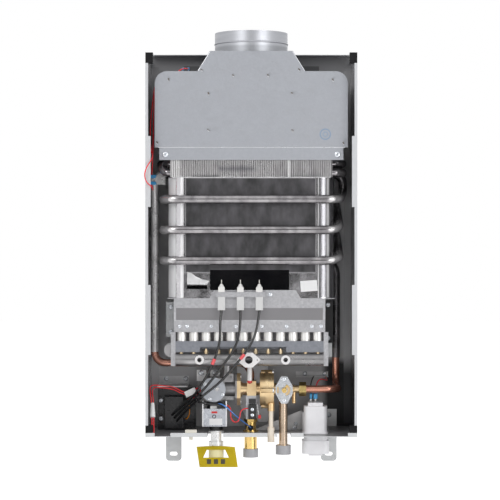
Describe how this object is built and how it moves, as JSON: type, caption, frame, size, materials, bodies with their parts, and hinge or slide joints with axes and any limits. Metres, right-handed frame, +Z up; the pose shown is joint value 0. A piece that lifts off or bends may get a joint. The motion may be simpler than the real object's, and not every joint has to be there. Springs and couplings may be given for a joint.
{
  "type": "tankless gas water heater",
  "caption": "Wall-hung open-flue gas water heater without its cover: hood, finned heat exchanger with wrapped coil, burner, gas and water valves, igniter.",
  "frame": {"origin": "on the wall plane and the heater's centre line, level with the underside of its floor panel", "axes": "+Z up, +X to the right seen from the front, -Y towards the front, the wall at Y = 0"},
  "size_m": [0.3416, 0.1917, 0.7146],
  "materials": {
    "case_steel": "semi gloss enamel",
    "back_steel": "semi gloss enamel",
    "light_grey_enamel": "semi gloss enamel",
    "galvanised": "galvanised, satin",
    "dark_zinc": "galvanised, satin",
    "tin": "tinned copper sheet, bright and creased",
    "fins": "thin plain fins",
    "tinned_pipe": "tinned copper tube, dark satin",
    "copper": "bare copper tube",
    "brass": "cast brass, satin",
    "stainless": "stainless sheet, brushed",
    "burner_steel": "aluminised sheet, matt",
    "cast_aluminium": "die cast, matt",
    "dark_glass": "dark heat resistant glass",
    "black_plastic": "matt",
    "black_gloss": "semi gloss",
    "dark_plastic": "matt",
    "light_grey_plastic": "matt",
    "white_plastic": "matt",
    "ivory_plastic": "matt",
    "grey_cap": "matt",
    "beige_cap": "matt",
    "yellow_tag": "thin printed plastic sheet",
    "zinc_screw": "zinc plated",
    "electrode_ceramic": "white, with dark boots below",
    "lead_rubber": "silicone rubber, black",
    "wire_insulation": "thin insulation, several colours",
    "sleeve": "soft sleeves, several colours",
    "battery_jacket": "plain jacket"
  },
  "bodies": {
    "heater": {"adjusting_rod": "white_plastic", "air_trough": "burner_steel", "back_panel": "back_steel", "battery_contacts": "stainless", "battery_holder": "light_grey_plastic", "burner_bars": "stainless", "burner_frame": "burner_steel", "burner_front_plate": "burner_steel", "burner_stays": "dark_zinc", "chamber_shell": "tin", "cold_feed_pipe": "copper", "control_unit": "dark_plastic", "corner_clips": "black_plastic", "cover_latch": "ivory_plastic", "draught_baffle": "galvanised", "electrodes": "electrode_ceramic", "exchanger_tubes": "tinned_pipe", "fin_block": "fins", "floor_panel": "case_steel", "flue_collar": "galvanised", "gas_inlet_pipe": "cast_aluminium", "gas_manifold": "cast_aluminium", "gas_nozzles": "brass", "gas_valve_body": "cast_aluminium", "gas_valve_cover": "stainless", "hood_back": "galvanised", "hood_case": "galvanised", "hood_front_plate": "galvanised", "hot_outlet_pipe": "copper", "hot_outlet_tube": "brass", "hot_return_pipe": "tinned_pipe", "ignition_leads": "lead_rubber", "inner_stays": "dark_zinc", "micro_switch": "black_gloss", "pipe_nut": "brass", "pipe_plate": "light_grey_enamel", "screws": "zinc_screw", "selector_plate": "stainless", "side_panel_left": "case_steel", "side_panel_right": "case_steel", "sight_window": "dark_glass", "solenoid_coil": "dark_plastic", "solenoid_frame": "galvanised", "temperature_switches": "stainless", "wall_brackets": "dark_zinc", "water_valve_body": "brass", "wire_sleeves": "sleeve", "wires": "wire_insulation", "wrap_coil": "tinned_pipe"},
    "gas_knob": {"gas_spindle": "stainless"},
    "flow_selector": {"selector_spindle": "brass"},
    "push_rod": {"membrane_rod": "stainless"},
    "lever": {"switch_lever": "stainless"},
    "plunger": {"solenoid_plunger": "stainless"},
    "battery_drawer": {"battery_cap": "light_grey_plastic", "battery_cell": "battery_jacket"},
    "drain": {"drain_screw": "ivory_plastic"},
    "gas_cap": {"gas_inlet_cap": "beige_cap", "gas_tag": "yellow_tag"},
    "cold_cap": {"cold_inlet_cap": "grey_cap"},
    "hot_cap": {"hot_outlet_cap": "grey_cap"}
  },
  "joints": [
    {"name": "gas_tap_turn", "type": "hinge", "parent": "heater", "child": "gas_knob", "pos_m": [-0.0554, -0.134, 0.0734], "axis": [0, 1, 0], "range_deg": [0, 90]},
    {"name": "flow_selector_turn", "type": "hinge", "parent": "heater", "child": "flow_selector", "pos_m": [0.0535, -0.138, 0.072], "axis": [0, 1, 0], "range_deg": [0, 115]},
    {"name": "push_rod_slide", "type": "slide", "parent": "heater", "child": "push_rod", "axis": [-1, 0, 0], "range_m": [0, 0.004], "stiffness_N_per_m": 400},
    {"name": "lever_tilt", "type": "hinge", "parent": "heater", "child": "lever", "pos_m": [0.0093, -0.1356, 0.047], "axis": [0, 1, 0], "range_deg": [0, 7]},
    {"name": "plunger_lift", "type": "slide", "parent": "heater", "child": "plunger", "axis": [0, 0, 1], "range_m": [0, 0.003], "stiffness_N_per_m": 150},
    {"name": "battery_pull", "type": "slide", "parent": "heater", "child": "battery_drawer", "axis": [0, 0, -1], "range_m": [0, 0.075]},
    {"name": "drain_turn", "type": "hinge", "parent": "heater", "child": "drain", "pos_m": [0.0322, -0.125, 0], "axis": [0, 0, 1], "range_deg": [-360, 0]},
    {"name": "gas_cap_pull", "type": "slide", "parent": "heater", "child": "gas_cap", "axis": [0, 0, -1], "range_m": [0, 0.025]},
    {"name": "cold_cap_pull", "type": "slide", "parent": "heater", "child": "cold_cap", "axis": [0, 0, -1], "range_m": [0, 0.02]},
    {"name": "hot_cap_pull", "type": "slide", "parent": "heater", "child": "hot_cap", "axis": [0, 0, -1], "range_m": [0, 0.02]}
  ],
  "couplings": [
    {"joint": "lever_tilt", "follows": "push_rod_slide", "rad_per_m": 30.5}
  ]
}
